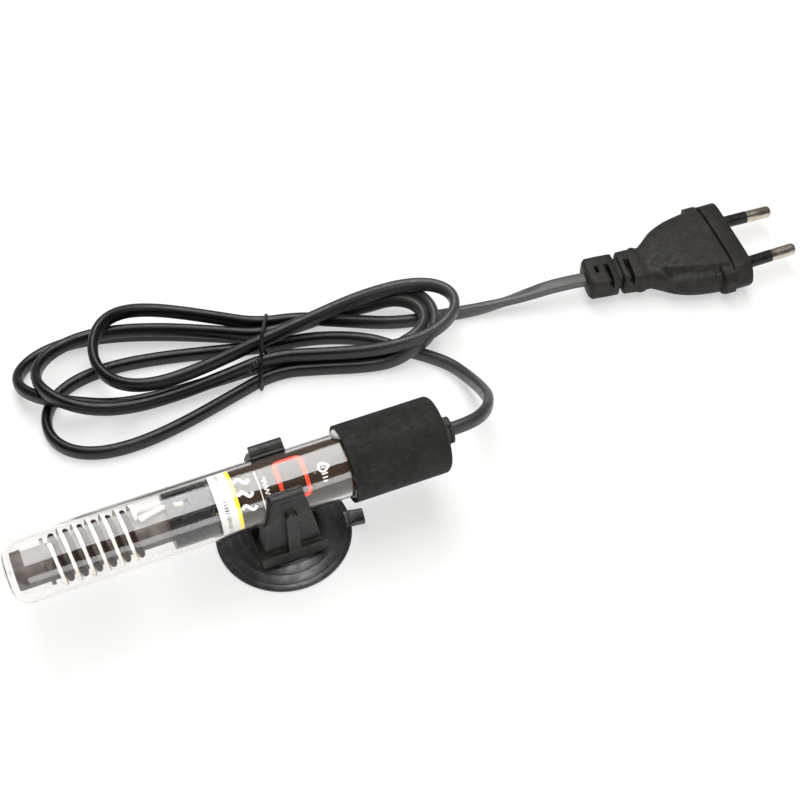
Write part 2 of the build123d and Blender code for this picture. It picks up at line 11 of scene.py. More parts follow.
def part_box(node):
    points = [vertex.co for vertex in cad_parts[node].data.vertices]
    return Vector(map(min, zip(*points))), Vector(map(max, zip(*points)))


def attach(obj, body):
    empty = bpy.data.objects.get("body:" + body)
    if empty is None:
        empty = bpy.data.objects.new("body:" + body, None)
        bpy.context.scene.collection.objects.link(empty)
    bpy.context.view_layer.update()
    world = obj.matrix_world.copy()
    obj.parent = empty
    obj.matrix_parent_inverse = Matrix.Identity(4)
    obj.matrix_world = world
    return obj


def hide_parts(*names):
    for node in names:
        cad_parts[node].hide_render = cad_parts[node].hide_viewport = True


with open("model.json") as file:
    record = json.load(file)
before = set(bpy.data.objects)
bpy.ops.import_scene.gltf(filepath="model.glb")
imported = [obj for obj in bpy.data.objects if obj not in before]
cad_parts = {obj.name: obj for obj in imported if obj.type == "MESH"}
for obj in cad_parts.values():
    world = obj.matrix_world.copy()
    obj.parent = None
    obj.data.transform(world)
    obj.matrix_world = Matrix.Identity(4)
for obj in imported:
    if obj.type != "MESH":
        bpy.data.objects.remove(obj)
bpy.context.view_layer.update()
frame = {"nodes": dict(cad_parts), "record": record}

MM = 0.001

# A small submersible aquarium heater, lying on its suction cup beside the hank of its flat mains lead.
# Sizes and places are millimetres in the row frame. The stage and the lights are in metres, as Blender is.


def axis_and_radius(name):
    """The height of the axis of a round node that lies along X, and its radius."""
    low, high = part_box(name)
    return ((low + high) / 2).z / MM, (high.y - low.y) / 2 / MM


AXIS_Z, GLASS_RADIUS = axis_and_radius("glass_tube")
FILM_RADIUS = axis_and_radius("foil_sleeve")[1]


# ---------------------------------------- camera, stage and light
CAMERA_TARGET = (49.7, 32.5, 0.0)
CAMERA_DISTANCE = 527.2
CAMERA_ELEVATION = math.radians(53.31)
CAMERA_AZIMUTH = math.radians(21.86)
CAMERA_LENS = 76.5


def direction(azimuth, elevation):
    """A unit vector towards an azimuth, turned from -Y towards -X, and an elevation."""
    flat = math.cos(elevation)
    return Vector((-math.sin(azimuth) * flat, -math.cos(azimuth) * flat, math.sin(elevation)))


def aim(obj, place, target):
    obj.location = place
    obj.rotation_mode = "QUATERNION"
    obj.rotation_quaternion = (target - place).to_track_quat("-Z", "Y")


def make_camera():
    camera = bpy.data.objects.new("camera", bpy.data.cameras.new("camera"))
    bpy.context.scene.collection.objects.link(camera)
    camera.data.lens = CAMERA_LENS
    camera.data.sensor_width = 36.0
    camera.data.clip_start = 0.01
    target = Vector(CAMERA_TARGET) * MM
    place = target + direction(CAMERA_AZIMUTH, CAMERA_ELEVATION) * CAMERA_DISTANCE * MM
    aim(camera, place, target)
    bpy.context.scene.camera = camera


def make_softbox(name, target, azimuth, elevation, distance, size, radiance):
    """A rectangular light in metres and degrees, of an even radiance; 1.0 is the white of the picture."""
    data = bpy.data.lights.new(name, "AREA")
    data.shape = "RECTANGLE"
    data.size, data.size_y = size
    data.energy = radiance * math.pi * size[0] * size[1]
    light = bpy.data.objects.new(name, data)
    bpy.context.scene.collection.objects.link(light)
    place = Vector(target) + direction(math.radians(azimuth), math.radians(elevation)) * distance
    aim(light, place, Vector(target))


SURROUND_NEAR = 0.08
SURROUND_FAR = 0.16


def make_world():
    """A white backdrop for the camera. The light from it is dim behind the camera, brighter opposite."""
    world = bpy.data.worlds.new("studio")
    bpy.context.scene.world = world
    world.use_nodes = True
    tree = world.node_tree
    background = tree.nodes["Background"]
    background.inputs["Color"].default_value = (1.0, 0.985, 0.965, 1)
    sky = tree.nodes.new("ShaderNodeTexCoord")
    split = tree.nodes.new("ShaderNodeSeparateXYZ")
    fade = tree.nodes.new("ShaderNodeMapRange")
    fade.interpolation_type = "SMOOTHSTEP"
    fade.inputs["From Min"].default_value = -0.2
    fade.inputs["From Max"].default_value = 0.4
    fade.inputs["To Min"].default_value = SURROUND_NEAR
    fade.inputs["To Max"].default_value = SURROUND_FAR
    rays = tree.nodes.new("ShaderNodeLightPath")
    strength = tree.nodes.new("ShaderNodeMapRange")
    strength.inputs["To Max"].default_value = 1.0
    tree.links.new(sky.outputs["Generated"], split.inputs["Vector"])
    tree.links.new(split.outputs["Y"], fade.inputs["Value"])
    tree.links.new(rays.outputs["Is Camera Ray"], strength.inputs["Value"])
    tree.links.new(fade.outputs["Result"], strength.inputs["To Min"])
    tree.links.new(strength.outputs["Result"], background.inputs["Strength"])


make_camera()
make_world()
make_softbox(
    "softbox_overhead",
    target=(0.13, 0.0, 0.02),
    azimuth=180,
    elevation=77.5,
    distance=1.13,
    size=(0.62, 1.72),
    radiance=5.7,
)
make_softbox(
    "softbox_front",
    target=(0.0, 0.0, 0.02),
    azimuth=-7,
    elevation=14,
    distance=1.2,
    size=(0.8, 0.46),
    radiance=3.8,
)
bpy.context.scene.view_settings.view_transform = "Standard"


# ---------------------------------------- material building
MATERIALS = {}


class Look:
    """A procedural material, kept in MATERIALS, with helpers for the nodes that drive its shader."""

    def __init__(self, name, colour, roughness, **sockets):
        MATERIALS[name] = bpy.data.materials.new(name)
        MATERIALS[name].use_nodes = True
        self.tree = MATERIALS[name].node_tree
        self.shader = self.tree.nodes["Principled BSDF"]
        self.shader.inputs["Base Color"].default_value = (*colour, 1)
        self.shader.inputs["Roughness"].default_value = roughness
        for socket, value in sockets.items():
            self.shader.inputs[socket.replace("_", " ")].default_value = value
        self.point = self.tree.nodes.new("ShaderNodeTexCoord").outputs["Object"]

    def feed(self, socket, value):
        if isinstance(value, bpy.types.NodeSocket):
            self.tree.links.new(value, socket)
        else:
            socket.default_value = value

    def node(self, kind, settings=(), **inputs):
        made = self.tree.nodes.new(kind)
        for name, value in dict(settings).items():
            setattr(made, name, value)
        for name, value in inputs.items():
            self.feed(made.inputs[name.replace("_", " ")], value)
        return made

    def stretched(self, factors):
        """The surface point, scaled by a factor along each axis."""
        made = self.node("ShaderNodeMapping", Vector=self.point)
        made.inputs["Scale"].default_value = factors
        return made.outputs["Vector"]

    def noise(self, per_mm, detail=3.0, factors=None):
        """Noise with about that many features a millimetre, from 0 to 1."""
        point = self.point if factors is None else self.stretched(factors)
        made = self.node("ShaderNodeTexNoise", Vector=point, Scale=per_mm / MM, Detail=detail)
        return made.outputs["Fac"]

    def remap(self, value, low, high, to_low, to_high):
        settings = {"interpolation_type": "SMOOTHSTEP"}
        made = self.node("ShaderNodeMapRange", settings, Value=value)
        for name, number in zip(("From Min", "From Max", "To Min", "To Max"), (low, high, to_low, to_high)):
            made.inputs[name].default_value = number
        return made.outputs["Result"]

    def maths(self, operation, first, second):
        made = self.node("ShaderNodeMath", {"operation": operation})
        self.feed(made.inputs[0], first)
        self.feed(made.inputs[1], second)
        return made.outputs["Value"]

    def mix(self, factor, first, second):
        """Between two colours, or between a colour and another mix."""
        made = self.node("ShaderNodeMix", {"data_type": "RGBA"})
        self.feed(made.inputs["Factor"], factor)
        for socket, value in ((made.inputs[6], first), (made.inputs[7], second)):
            self.feed(socket, value if isinstance(value, bpy.types.NodeSocket) else (*value, 1))
        return made.outputs[2]

    def colour(self, value):
        self.feed(self.shader.inputs["Base Color"], value)

    def roughness(self, value):
        self.feed(self.shader.inputs["Roughness"], value)

    def bump(self, height, depth_mm, strength=1.0):
        """A height from 0 to 1, that many millimetres deep, on top of any earlier bump."""
        before = self.shader.inputs["Normal"].links
        made = self.node("ShaderNodeBump", Height=height, Distance=depth_mm * MM, Strength=strength)
        if before:
            self.feed(made.inputs["Normal"], before[0].from_socket)
        self.feed(self.shader.inputs["Normal"], made.outputs["Normal"])

    def axis(self, letter):
        """One coordinate of the surface point, in metres."""
        return self.node("ShaderNodeSeparateXYZ", Vector=self.point).outputs[letter]

    def soft_edges(self, radius_mm):
        """Round the look of sharp edges, and return how near each point is to one, from 0 to 1."""
        rounded = self.node("ShaderNodeBevel", {"samples": 6}, Radius=radius_mm * MM).outputs["Normal"]
        self.feed(self.shader.inputs["Normal"], rounded)
        true_normal = self.node("ShaderNodeNewGeometry").outputs["True Normal"]
        match = self.node("ShaderNodeVectorMath", {"operation": "DOT_PRODUCT"})
        self.feed(match.inputs[0], rounded)
        self.feed(match.inputs[1], true_normal)
        return self.remap(match.outputs["Value"], 0.98, 0.8, 0.0, 1.0)


def grey(value):
    return (value, value, value)


def moulded_rubber(name, dark, light, rough, grain_mm=0.02, specular=0.35):
    """Dull black rubber with a fine grain, and pale dust specks and scuffs."""
    look = Look(name, dark, rough, Specular_IOR_Level=specular)
    cloud = look.noise(0.12, 4.0)
    specks = look.remap(look.noise(1.6, 2.0), 0.70, 0.76, 0.0, 1.0)
    scuffs = look.remap(look.noise(0.9, 5.0, (0.25, 1.0, 1.6)), 0.64, 0.74, 0.0, 0.55)
    base = look.mix(look.remap(cloud, 0.35, 0.7, 0.0, 1.0), dark, light)
    dusty = look.mix(look.maths("MAXIMUM", specks, scuffs), base, tuple(3.2 * c for c in light))
    look.colour(dusty)
    look.roughness(look.remap(look.noise(0.5, 4.0), 0.3, 0.7, rough - 0.08, rough + 0.08))
    look.bump(look.noise(5.0, 3.0), grain_mm)


def moulded_plastic(name, dark, light, rough, grain_mm=0.012, edge_mm=0.0, specular=0.4):
    """Satin moulded plastic with a fine spark-eroded grain, rubbed patches and, if asked, worn edges."""
    look = Look(name, dark, rough, Specular_IOR_Level=specular)
    worn = look.remap(look.noise(0.25, 5.0), 0.45, 0.75, 0.0, 1.0)
    base = look.mix(worn, dark, light)
    if edge_mm:
        patchy = look.remap(look.noise(0.8, 4.0), 0.35, 0.65, 0.1, 0.8)
        rubbed = look.maths("MULTIPLY", look.soft_edges(edge_mm), patchy)
        base = look.mix(rubbed, base, tuple(2.2 * c for c in light))
    look.colour(base)
    look.roughness(look.remap(look.noise(0.7, 4.0), 0.3, 0.7, rough - 0.1, rough + 0.08))
    if grain_mm:
        look.bump(look.noise(4.0, 3.0), grain_mm)


def clear_glass():
    """Clear glass with a faint haze in places."""
    look = Look("clear_glass", (0.978, 0.968, 0.957), 0.0, IOR=1.47, Transmission_Weight=1.0)
    look.roughness(look.remap(look.noise(0.15, 4.0), 0.5, 0.9, 0.0, 0.06))


def printed_film(name, colour, rough, grain=0.15, **sockets):
    """Smooth film, ink or lacquer, a little uneven in shade."""
    look = Look(name, colour, rough, **sockets)
    shade = look.remap(look.noise(0.3, 4.0), 0.3, 0.7, 0.0, 1.0)
    look.colour(look.mix(shade, tuple(c * (1 - grain) for c in colour), colour))
    look.roughness(look.remap(look.noise(0.8, 3.0), 0.3, 0.7, rough - 0.05, rough + 0.05))


def cord_jacket():
    """The lead's jacket: near black in the hank, and painted greyer on its way to the plug, a painted sheen
    for the gloss on its top there.
    """
    look = Look("cord_jacket", (0.012, 0.012, 0.011), 0.4, Specular_IOR_Level=0.4)
    # painted sheen: the colour turns greyer along X towards the plug, standing in for the light that the
    # jacket's top reflects there
    along = look.remap(look.axis("X"), 0.02, 0.12, 0.0, 1.0)
    cloud = look.noise(0.2, 4.0)
    near = look.mix(cloud, (0.002, 0.002, 0.0018), (0.005, 0.0048, 0.0045))
    far_painted_sheen = look.mix(cloud, (0.075, 0.074, 0.071), (0.11, 0.108, 0.104))
    look.colour(look.mix(along, near, far_painted_sheen))
    look.roughness(look.remap(look.noise(0.6, 4.0), 0.3, 0.7, 0.3, 0.44))
    look.bump(look.noise(2.2, 3.0), 0.02)


def ceramic(name, colour, dark, rough=0.6):
    """A dull, slightly uneven surface with soft stains."""
    look = Look(name, colour, rough)
    stain = look.remap(look.noise(0.35, 5.0), 0.35, 0.7, 0.0, 1.0)
    look.colour(look.mix(stain, dark, colour))
    look.bump(look.noise(3.0, 3.0), 0.03)


def metal(name, colour, rough, brushed=(1.0, 1.0, 1.0), grain_mm=0.0015):
    """Lightly tarnished metal, with streaks where it is brushed."""
    look = Look(name, colour, rough, Metallic=1.0)
    streak = look.noise(2.0, 4.0, brushed)
    tarnish = look.remap(look.noise(0.5, 3.0), 0.35, 0.7, 0.0, 1.0)
    look.colour(look.mix(tarnish, tuple(c * 0.8 for c in colour), colour))
    look.roughness(look.remap(streak, 0.3, 0.7, rough - 0.05, rough + 0.08))
    if grain_mm:
        look.bump(streak, grain_mm)


# one call for each material slot of the record
clear_glass()
moulded_rubber("cap_rubber", (0.008, 0.008, 0.007), (0.016, 0.016, 0.0135), 0.75)
moulded_rubber("gland_rubber", (0.014, 0.0135, 0.012), (0.03, 0.029, 0.026), 0.6)
ceramic("clear_silicone", (0.75, 0.73, 0.68), (0.6, 0.57, 0.52), 0.35)
printed_film("dark_film", (0.034, 0.021, 0.012), 0.18, Specular_IOR_Level=0.4)
printed_film("white_label", (0.74, 0.725, 0.7), 0.4, grain=0.06)
printed_film("yellow_label", (0.9, 0.78, 0.02), 0.4, grain=0.05)
ceramic("core_ceramic", (0.13, 0.106, 0.097), (0.06, 0.047, 0.043))
ceramic("white_ceramic", (0.86, 0.82, 0.76), (0.7, 0.64, 0.57), 0.5)
metal("resistance_wire", (0.06, 0.032, 0.024), 0.6)
ceramic("fibre_sleeving", (0.62, 0.58, 0.52), (0.45, 0.41, 0.36), 0.8)
moulded_plastic("black_moulding", grey(0.008), grey(0.018), 0.32)
metal("bimetal", (0.62, 0.5, 0.36), 0.35, brushed=(0.2, 2.0, 2.0))
metal("contact_silver", (0.85, 0.85, 0.83), 0.25)
metal("brass", (0.75, 0.55, 0.25), 0.3)
metal("magnet_steel", (0.45, 0.45, 0.46), 0.35)
printed_film("lamp_glass", (0.75, 0.35, 0.2), 0.1)
metal("tinned_wire", (0.75, 0.74, 0.72), 0.35)
printed_film("resistor_body", (0.55, 0.4, 0.24), 0.5)
printed_film("lead_insulation", (0.55, 0.08, 0.05), 0.4)
moulded_plastic(
    "clip_plastic",
    (0.012, 0.0112, 0.0095),
    (0.027, 0.025, 0.021),
    rough=0.45,
    grain_mm=0.015,
    edge_mm=0.35,
)
moulded_rubber("cup_rubber", grey(0.022), grey(0.045), 0.34, grain_mm=0.004, specular=0.6)
cord_jacket()
moulded_plastic("tie_plastic", grey(0.008), grey(0.02), 0.4)
moulded_plastic(
    "plug_pvc",
    (0.014, 0.0125, 0.0105),
    (0.024, 0.0215, 0.018),
    rough=0.6,
    grain_mm=0.02,
    edge_mm=0.25,
    specular=0.3,
)
moulded_plastic("plug_insert_plastic", (0.02, 0.02, 0.019), grey(0.03), 0.5)
metal("pin_nickel", (0.66, 0.6, 0.5), 0.2, brushed=(0.1, 0.1, 0.1), grain_mm=0.0)
moulded_plastic("pin_sleeve_plastic", grey(0.008), grey(0.014), 0.3, grain_mm=0.0)

# the nodes that keep their CAD shape are painted from their slots
SLOT_OF = {piece["node"]: piece["material_slot"] for piece in frame["record"]["subparts"]}
for name, obj in frame["nodes"].items():
    for material_slot in obj.material_slots:
        material_slot.material = MATERIALS[SLOT_OF[name]]

# the glass is clear, so it throws no shadow on what is inside it
frame["nodes"]["glass_tube"].visible_shadow = False


# ---------------------------------------- mesh helpers
SHARP_ANGLE = math.radians(38)


def shade_smooth(mesh):
    """Smooth shading that stops at sharp edges."""
    for polygon in mesh.polygons:
        polygon.use_smooth = True
    mesh.set_sharp_from_angle(angle=SHARP_ANGLE)


def add_mesh(name, vertices, faces, slot, body, paint=None):
    """A new piece from points in metres, painted from a material slot and riding on a body.

    A piece with no slot of the record is given its own paint."""
    mesh = bpy.data.meshes.new(name)
    mesh.from_pydata([tuple(v) for v in vertices], [], faces)
    mesh.validate()
    obj = bpy.data.objects.new(name, mesh)
    bpy.context.scene.collection.objects.link(obj)
    working = bmesh.new()
    working.from_mesh(mesh)
    bmesh.ops.recalc_face_normals(working, faces=working.faces)
    working.to_mesh(mesh)
    working.free()
    shade_smooth(mesh)
    mesh.materials.append(MATERIALS[slot or paint])
    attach(obj, body)
    return obj


def skinned(rings, closed_ends=True, looped=False):
    """Points and faces of a skin over rings of equally many points."""
    count = len(rings[0])
    vertices = [point for ring in rings for point in ring]
    faces = []
    for index in range(len(rings) if looped else len(rings) - 1):
        here = index * count
        there = (index + 1) % len(rings) * count
        for k in range(count):
            after = (k + 1) % count
            faces.append((here + k, here + after, there + after, there + k))
    if closed_ends and not looped:
        faces.append(tuple(range(count)))
        faces.append(tuple(range(len(vertices) - count, len(vertices))))
    return vertices, faces


def joined(*parts):
    """Several lists of points and faces as one."""
    vertices, faces = [], []
    for more_vertices, more_faces in parts:
        start = len(vertices)
        vertices += more_vertices
        faces += [tuple(start + k for k in face) for face in more_faces]
    return vertices, faces


def nurbs_line(name, points, per_point=10):
    """The smooth line of a NURBS curve through a route's control points, in metres."""
    curve = bpy.data.curves.new(name, "CURVE")
    curve.dimensions = "3D"
    spline = curve.splines.new("NURBS")
    spline.points.add(len(points) - 1)
    for control, place in zip(spline.points, points):
        control.co = (*place, 1)
    spline.order_u = 3
    spline.use_endpoint_u = True
    spline.resolution_u = per_point
    holder = bpy.data.objects.new(name, curve)
    bpy.context.scene.collection.objects.link(holder)
    bpy.context.view_layer.update()
    line = bpy.data.meshes.new_from_object(holder)
    read = [v.co.copy() for v in line.vertices]
    bpy.data.objects.remove(holder)
    bpy.data.meshes.remove(line)
    return read


def smoothstep(value, low, high):
    share = min(max((value - low) / (high - low), 0.0), 1.0)
    return share * share * (3 - 2 * share)


def swept(line, section, turn_at):
    """Points and faces of a section carried along a line, its second axis kept upright and then turned."""
    rings = []
    for index, place in enumerate(line):
        before = line[max(index - 1, 0)]
        after = line[min(index + 1, len(line) - 1)]
        ahead = (after - before).normalized()
        side = ahead.cross(Vector((0, 0, 1))).normalized()
        up = side.cross(ahead).normalized()
        angle = turn_at(place)
        wide = up * math.cos(angle) + side * math.sin(angle)
        thin = side * math.cos(angle) - up * math.sin(angle)
        rings.append([place + thin * a + wide * b for a, b in section])
    return skinned(rings)


def full_turn(count):
    """Angles at even steps round a circle."""
    return [2 * math.pi * k / count for k in range(count)]


def circle(radius, count):
    return [(radius * math.cos(angle), radius * math.sin(angle)) for angle in full_turn(count)]


def wire(line, radius, count=8):
    """Points and faces of a round wire along a line that may go straight up; its radius may vary."""
    rings = []
    side = None
    for index, place in enumerate(line):
        ahead = (line[min(index + 1, len(line) - 1)] - line[max(index - 1, 0)]).normalized()
        side = (side - ahead * side.dot(ahead)).normalized() if side else ahead.orthogonal().normalized()
        other = ahead.cross(side)
        here = radius(index) if callable(radius) else radius
        rings.append([place + side * a + other * b for a, b in circle(here, count)])
    return skinned(rings)


def round_tube(x, radius, degrees):
    """A point in metres on a cylinder about the tube's axis. 0 degrees is towards +Y, and 90 is up."""
    angle = math.radians(degrees)
    return Vector((x, radius * math.cos(angle), AXIS_Z + radius * math.sin(angle))) * MM


# ---------------------------------------- mains lead
CORD_WIDTH = 5.0
CORD_THICKNESS = 3.1
GLAND_END = (52.2, 0.0, 25.0)
HEATER_LEAD_ROUTE = [
    GLAND_END,
    (59.3, 0.0, 25.0),
    (65.4, 3.6, 23.2),
    (69.4, 10.4, 18.4),
    (71.2, 19.0, 11.6),
    (71.4, 28.6, 5.4),
    (69.0, 37.2, 2.9),
    (64.0, 43.0, 2.6),
    (56.5, 49.5, 2.6),
    (48.5, 57.0, 2.6),
    (34.0, 63.5, 2.6),
]
PLUG_LEAD_ROUTE = [
    (30.0, 69.0, 7.7),
    (44.0, 64.5, 5.0),
    (59.0, 59.5, 2.6),
    (73.5, 57.0, 2.6),
    (87.5, 54.8, 2.6),
    (100.5, 53.2, 4.6),
    (111.11, 51.96, 6.85),
    (121.01, 50.57, 6.85),
]
TIE_X = 17.0
LOW, MIDDLE, HIGH = 2.6, 7.7, 12.7  # the heights of the lead's middle in the hank's three layers
TIE_PLACES = [
    (66.0, LOW),
    (55.4, LOW),
    (69.8, LOW),
    (59.2, LOW),
    (66.5, MIDDLE),
    (57.6, MIDDLE),
    (62.3, 11.2),
    (71.5, MIDDLE),
]
# each loop of the hank: its tip, its half widths going out and coming back, its heights, its bluntness
LOOPS = [
    ((-55.0, 59.5), (15.5, 14.5), [LOW] * 5, 0.95),
    ((70.5, 55.5), (12.0, 12.0), [LOW, LOW, MIDDLE, MIDDLE, MIDDLE, MIDDLE, MIDDLE, LOW, LOW], 0.85),
    ((-59.0, 80.0), (14.0, 13.0), [LOW, LOW, LOW, LOW, 5.0, MIDDLE, MIDDLE, LOW, LOW], 1.0),
    ((67.0, 55.5), (9.0, 9.0), [LOW, LOW, MIDDLE, MIDDLE, MIDDLE, MIDDLE, MIDDLE, 5.0, MIDDLE], 0.85),
    ((-53.5, 75.5), (14.5, 15.5), [MIDDLE, MIDDLE, MIDDLE, MIDDLE, 10.0, HIGH, 10.0, MIDDLE, MIDDLE], 1.0),
    ((77.0, 54.5), (10.5, 9.5), [MIDDLE, 10.0, HIGH, HIGH, HIGH, HIGH, HIGH], 0.9),
    ((-35.0, 75.0), (-15.0, -16.0), [HIGH, HIGH, HIGH, HIGH, HIGH, HIGH, 10.0, MIDDLE], 1.0),
]
POINTS_PER_LOOP = 13
# the lead stands on its edge in the hank, and turns flat between these places on its way to the plug
FLAT_FROM_X = 80.0
FLAT_TO_X = 112.0


def between(values, share):
    """The value at a share of the way along an evenly spaced list."""
    place = share * (len(values) - 1)
    index = min(int(place), len(values) - 2)
    return values[index] + (values[index + 1] - values[index]) * (place - index)


def loop_points(start, end, loop):
    """The points of one loop, from one place at the tie round its tip to the next place."""
    tip, half_widths, heights, bluntness = loop
    points = []
    for k in range(1, POINTS_PER_LOOP + 1):
        share = k / (POINTS_PER_LOOP + 1)
        turn = math.pi * share
        root = Vector((TIE_X, start[0] + (end[0] - start[0]) * share))
        reach = Vector(tip) - root
        across = Vector((-reach.y, reach.x)).normalized()
        half_width = half_widths[0] if share < 0.5 else half_widths[1]
        sideways = -math.sin(2 * turn) * half_width
        place = root + reach * math.sin(turn) ** bluntness + across * sideways
        points.append((place.x, place.y, between([start[1], *heights, end[1]], share)))
    return points


def lead_route():
    route = list(HEATER_LEAD_ROUTE)
    for index, loop in enumerate(LOOPS):
        start, end = TIE_PLACES[index], TIE_PLACES[index + 1]
        route.append((TIE_X, *start))
        route += loop_points(start, end, loop)
    route.append((TIE_X, *TIE_PLACES[-1]))
    return route + PLUG_LEAD_ROUTE


def stadium(width, thickness, per_end=9):
    """The outline of a flat lead: two straight sides and two round ends."""
    radius = thickness / 2
    straight = width / 2 - radius
    points = []
    for end in (1, -1):
        for k in range(per_end):
            angle = math.pi * k / (per_end - 1)
            points.append((end * radius * math.cos(angle), end * (straight + radius * math.sin(angle))))
    return [(a * MM, b * MM) for a, b in points]


def lead_turn(place):
    """How far the lead is turned at a place, from standing on its edge to lying flat."""
    return math.pi / 2 * smoothstep(place.x, FLAT_FROM_X * MM, FLAT_TO_X * MM)


def make_lead():
    line = nurbs_line("lead_route", [Vector(point) * MM for point in lead_route()])
    section = stadium(CORD_WIDTH, CORD_THICKNESS)
    lead = add_mesh("mains_lead", *swept(line, section, lead_turn), "cord_jacket", "heater")
    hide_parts("cord_heater_lead", "cord_hank", "cord_plug_lead")
    return lead, line


lead, lead_line = make_lead()


# ---------------------------------------- twist tie
TIE_LEAN = 9.0 / 20.0  # the tie leans towards +X by this much for each millimetre towards +Y
TIE_MIDDLE_Y = 65.0
TIE_ALONG = Vector((TIE_LEAN, 1.0, 0.0)).normalized()
TIE_NORMAL = Vector((TIE_ALONG.y, -TIE_ALONG.x, 0.0))
TIE_ORIGIN = Vector((TIE_X - TIE_LEAN * TIE_MIDDLE_Y, 0.0, 0.0)) * MM
TIE_BAND_HALF = 0.6
TIE_BAND_THICKNESS = 0.45
TIE_SLICE_HALF = 0.9
TIE_POINTS = 120
TIE_LOWEST = 0.05  # how near the band comes to the floor
# the band's section: across it in half widths, and outwards in thicknesses
TIE_SECTION = [(-1, -0.35), (-0.7, 0.6), (0, 1.0), (0.7, 0.6), (1, -0.35)]
TAIL_LENGTH = 6.5
TAIL_RADIUS = 0.36
TAIL_DROOP = 1.6
TAIL_TWIST = 5.0 * math.pi
TAIL_TWIST_RADIUS = 0.42
TAIL_TWIST_END = 0.78  # the share of the length where the twist ends
TAIL_PARTING = 0.72  # and where the two tails start to part
TAIL_SPREAD = 1.3
TAIL_STEPS = 60


def rounded_hull(points, offset, per_corner=5):
    """The outline of points on a plane, pushed outwards and rounded."""
    hull = [Vector(points[k]) for k in convex_hull_2d(points)]
    outline = []
    for before, here, after in zip(hull[-1:] + hull[:-1], hull, hull[1:] + hull[:1]):
        angles = []
        for start, end in ((before, here), (here, after)):
            run = end - start
            angles.append(math.atan2(-run.x, run.y))
        turn = (angles[1] - angles[0]) % (2 * math.pi)
        for k in range(per_corner):
            angle = angles[0] + turn * k / (per_corner - 1)
            outline.append(here + Vector((math.cos(angle), math.sin(angle))) * offset)
    return outline


def evenly(outline, count):
    """A closed outline read again at even steps."""
    closed = outline + outline[:1]
    lengths = [0.0]
    for start, end in zip(closed, closed[1:]):
        lengths.append(lengths[-1] + (end - start).length)
    points = []
    index = 0
    for k in range(count):
        want = lengths[-1] * k / count
        while lengths[index + 1] < want:
            index += 1
        span = lengths[index + 1] - lengths[index]
        points.append(closed[index].lerp(closed[index + 1], (want - lengths[index]) / span))
    return points


def tie_loop():
    """The tie's way round the strands, on its own upright plane."""
    slice_points = []
    for vertex in lead.data.vertices:
        place = vertex.co - TIE_ORIGIN
        if abs(place.dot(TIE_NORMAL)) < TIE_SLICE_HALF * MM:
            slice_points.append((place.dot(TIE_ALONG), place.z))
    return evenly(rounded_hull(slice_points, TIE_BAND_THICKNESS * 0.5 * MM), TIE_POINTS)


def tie_rings(loop):
    """The band's section, carried round the loop and kept above the floor."""
    middle = sum(loop, Vector((0, 0))) / len(loop)
    rings = []
    for index, here in enumerate(loop):
        ahead = loop[(index + 1) % len(loop)] - loop[index - 1]
        out = Vector((ahead.y, -ahead.x)).normalized()
        if out.dot(here - middle) < 0:
            out = -out
        ring = []
        for a, b in TIE_SECTION:
            flat = here + out * b * TIE_BAND_THICKNESS * MM
            place = TIE_ORIGIN + TIE_ALONG * flat.x + TIE_NORMAL * a * TIE_BAND_HALF * MM
            ring.append(Vector((place.x, place.y, max(flat.y, TIE_LOWEST * MM))))
        rings.append(ring)
    return rings


def tie_tail(root, heading, start):
    """One end of the tie, twisted round the other from a start angle and then parting from it."""
    side = heading.cross(Vector((0, 0, 1))).normalized()
    up = side.cross(heading)
    line = []
    for k in range(TAIL_STEPS + 1):
        share = k / TAIL_STEPS
        spread = TAIL_TWIST_RADIUS + TAIL_SPREAD * max(share - TAIL_PARTING, 0.0)
        angle = start + TAIL_TWIST * min(share, TAIL_TWIST_END)
        droop = -TAIL_DROOP * share * share
        offset = side * math.cos(angle) * spread + up * math.sin(angle) * spread
        line.append(root + (heading * TAIL_LENGTH * share + offset + Vector((0, 0, droop))) * MM)
    return wire(line, TAIL_RADIUS * MM)


def make_tie():
    """A thin coated band pulled tight round the strands, with its two ends twisted together."""
    loop = tie_loop()
    low_end = min(loop, key=lambda point: point.x - point.y)
    root = TIE_ORIGIN + TIE_ALONG * low_end.x + Vector((0, 0, low_end.y + 1.2 * MM))
    heading = (-TIE_ALONG * 0.75 - TIE_NORMAL * 0.55 + Vector((0, 0, 0.10))).normalized()
    tails = [tie_tail(root, heading, start) for start in (0.0, math.pi)]
    band = skinned(tie_rings(loop), looped=True)
    tie = add_mesh("tie_band", *joined(band, *tails), "tie_plastic", "heater")
    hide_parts("twist_tie")
    return tie


tie = make_tie()


# ---------------------------------------- plug
PLUG_POINTS = 420
POCKET = (12.0, 13.55, 3.55)  # the insert's pocket: how deep, half width, half height
POCKET_SQUARENESS = 40
FACE_U = -0.05  # the moulding stops just behind the insert's face
PIN_MOUNTS = {
    mount["name"]: Vector(mount["pos_m"]) for mount in frame["record"]["mounts"] if mount["kind"] == "pin"
}
# distance from the face, half width, half height and squareness of the section
RELIEF_STATIONS = [
    (-51.0, 4.9, 3.3, 5),
    (-50.7, 5.5, 3.8, 5),
    (-49.9, 6.1, 4.15, 6),
    (-46.0, 6.2, 4.2, 6),
    (-41.5, 6.2, 4.2, 6),
    (-41.1, 5.9, 4.0, 6),
    (-41.0, 4.6, 3.2, 5),
    (-39.7, 4.6, 3.2, 5),
    (-39.6, 5.9, 4.0, 6),
    (-39.2, 6.3, 4.3, 6),
    (-35.0, 6.5, 4.4, 6),
    (-34.2, 7.2, 4.5, 5),
    (-33.0, 7.4, 4.5, 4),
    (-32.0, 6.9, 4.3, 4),
]
GRIP_STATIONS = [
    (-30.8, 7.0, 4.5, 3.6),
    (-28.5, 8.6, 4.9, 3.6),
    (-24.5, 11.5, 5.4, 3.8),
    (-19.5, 13.5, 5.9, 4.0),
    (-14.0, 14.5, 6.2, 4.4),
    (-9.0, 14.9, 6.35, 4.8),
    (-6.7, 14.9, 6.35, 5.0),
]
